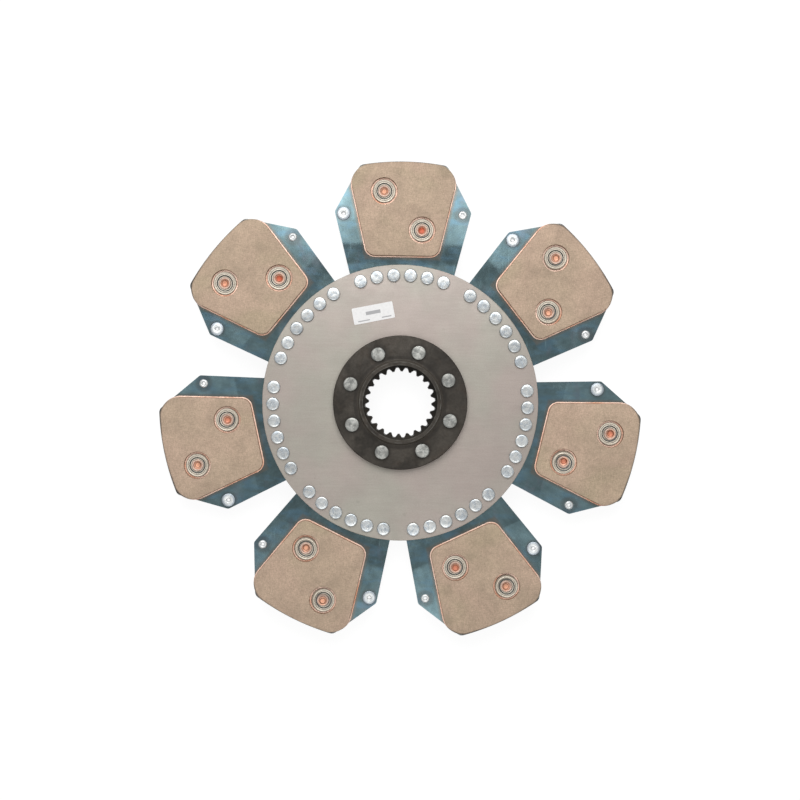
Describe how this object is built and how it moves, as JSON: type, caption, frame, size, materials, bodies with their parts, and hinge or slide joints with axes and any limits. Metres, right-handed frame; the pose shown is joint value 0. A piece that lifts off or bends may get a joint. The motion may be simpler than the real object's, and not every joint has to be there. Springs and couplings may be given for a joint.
{
  "type": "clutch disc",
  "caption": "Dry clutch disc with a splined hub, a riveted carrier disc and spring paddles that carry friction pads on both sides.",
  "frame": {"origin": "on the axis of the splined bore, at the rear end face of the hub, which is the face it rests on", "axes": "+Z along the bore axis, out of the front face with the flange and the label; +Y through the middle of paddle 1; the paddles are numbered counter-clockwise seen from the front"},
  "size_m": [0.3494, 0.3433, 0.035],
  "materials": {
    "hub": "matte",
    "carrier": "satin",
    "leaf": "satin",
    "backing": "satin",
    "friction": "matte",
    "hub_rivet": "satin",
    "zinc_rivet": "satin",
    "pad_rivet": "satin",
    "washer": "satin",
    "label": "matte"
  },
  "bodies": {
    "root": {"carrier_disc": "carrier", "carrier_rivets": "zinc_rivet", "edge_rivets": "zinc_rivet", "front_backing_1": "backing", "front_backing_2": "backing", "front_backing_3": "backing", "front_backing_4": "backing", "front_backing_5": "backing", "front_backing_6": "backing", "front_backing_7": "backing", "front_leaf_1": "leaf", "front_leaf_2": "leaf", "front_leaf_3": "leaf", "front_leaf_4": "leaf", "front_leaf_5": "leaf", "front_leaf_6": "leaf", "front_leaf_7": "leaf", "front_pad_1": "friction", "front_pad_2": "friction", "front_pad_3": "friction", "front_pad_4": "friction", "front_pad_5": "friction", "front_pad_6": "friction", "front_pad_7": "friction", "front_pad_rivets": "pad_rivet", "front_pad_washers": "washer", "hub_rivets": "hub_rivet", "paper_label": "label", "rear_backing_1": "backing", "rear_backing_2": "backing", "rear_backing_3": "backing", "rear_backing_4": "backing", "rear_backing_5": "backing", "rear_backing_6": "backing", "rear_backing_7": "backing", "rear_leaf_1": "leaf", "rear_leaf_2": "leaf", "rear_leaf_3": "leaf", "rear_leaf_4": "leaf", "rear_leaf_5": "leaf", "rear_leaf_6": "leaf", "rear_leaf_7": "leaf", "rear_pad_1": "friction", "rear_pad_2": "friction", "rear_pad_3": "friction", "rear_pad_4": "friction", "rear_pad_5": "friction", "rear_pad_6": "friction", "rear_pad_7": "friction", "rear_pad_rivets": "pad_rivet", "rear_pad_washers": "washer", "splined_hub": "hub"}
  },
  "joints": []
}
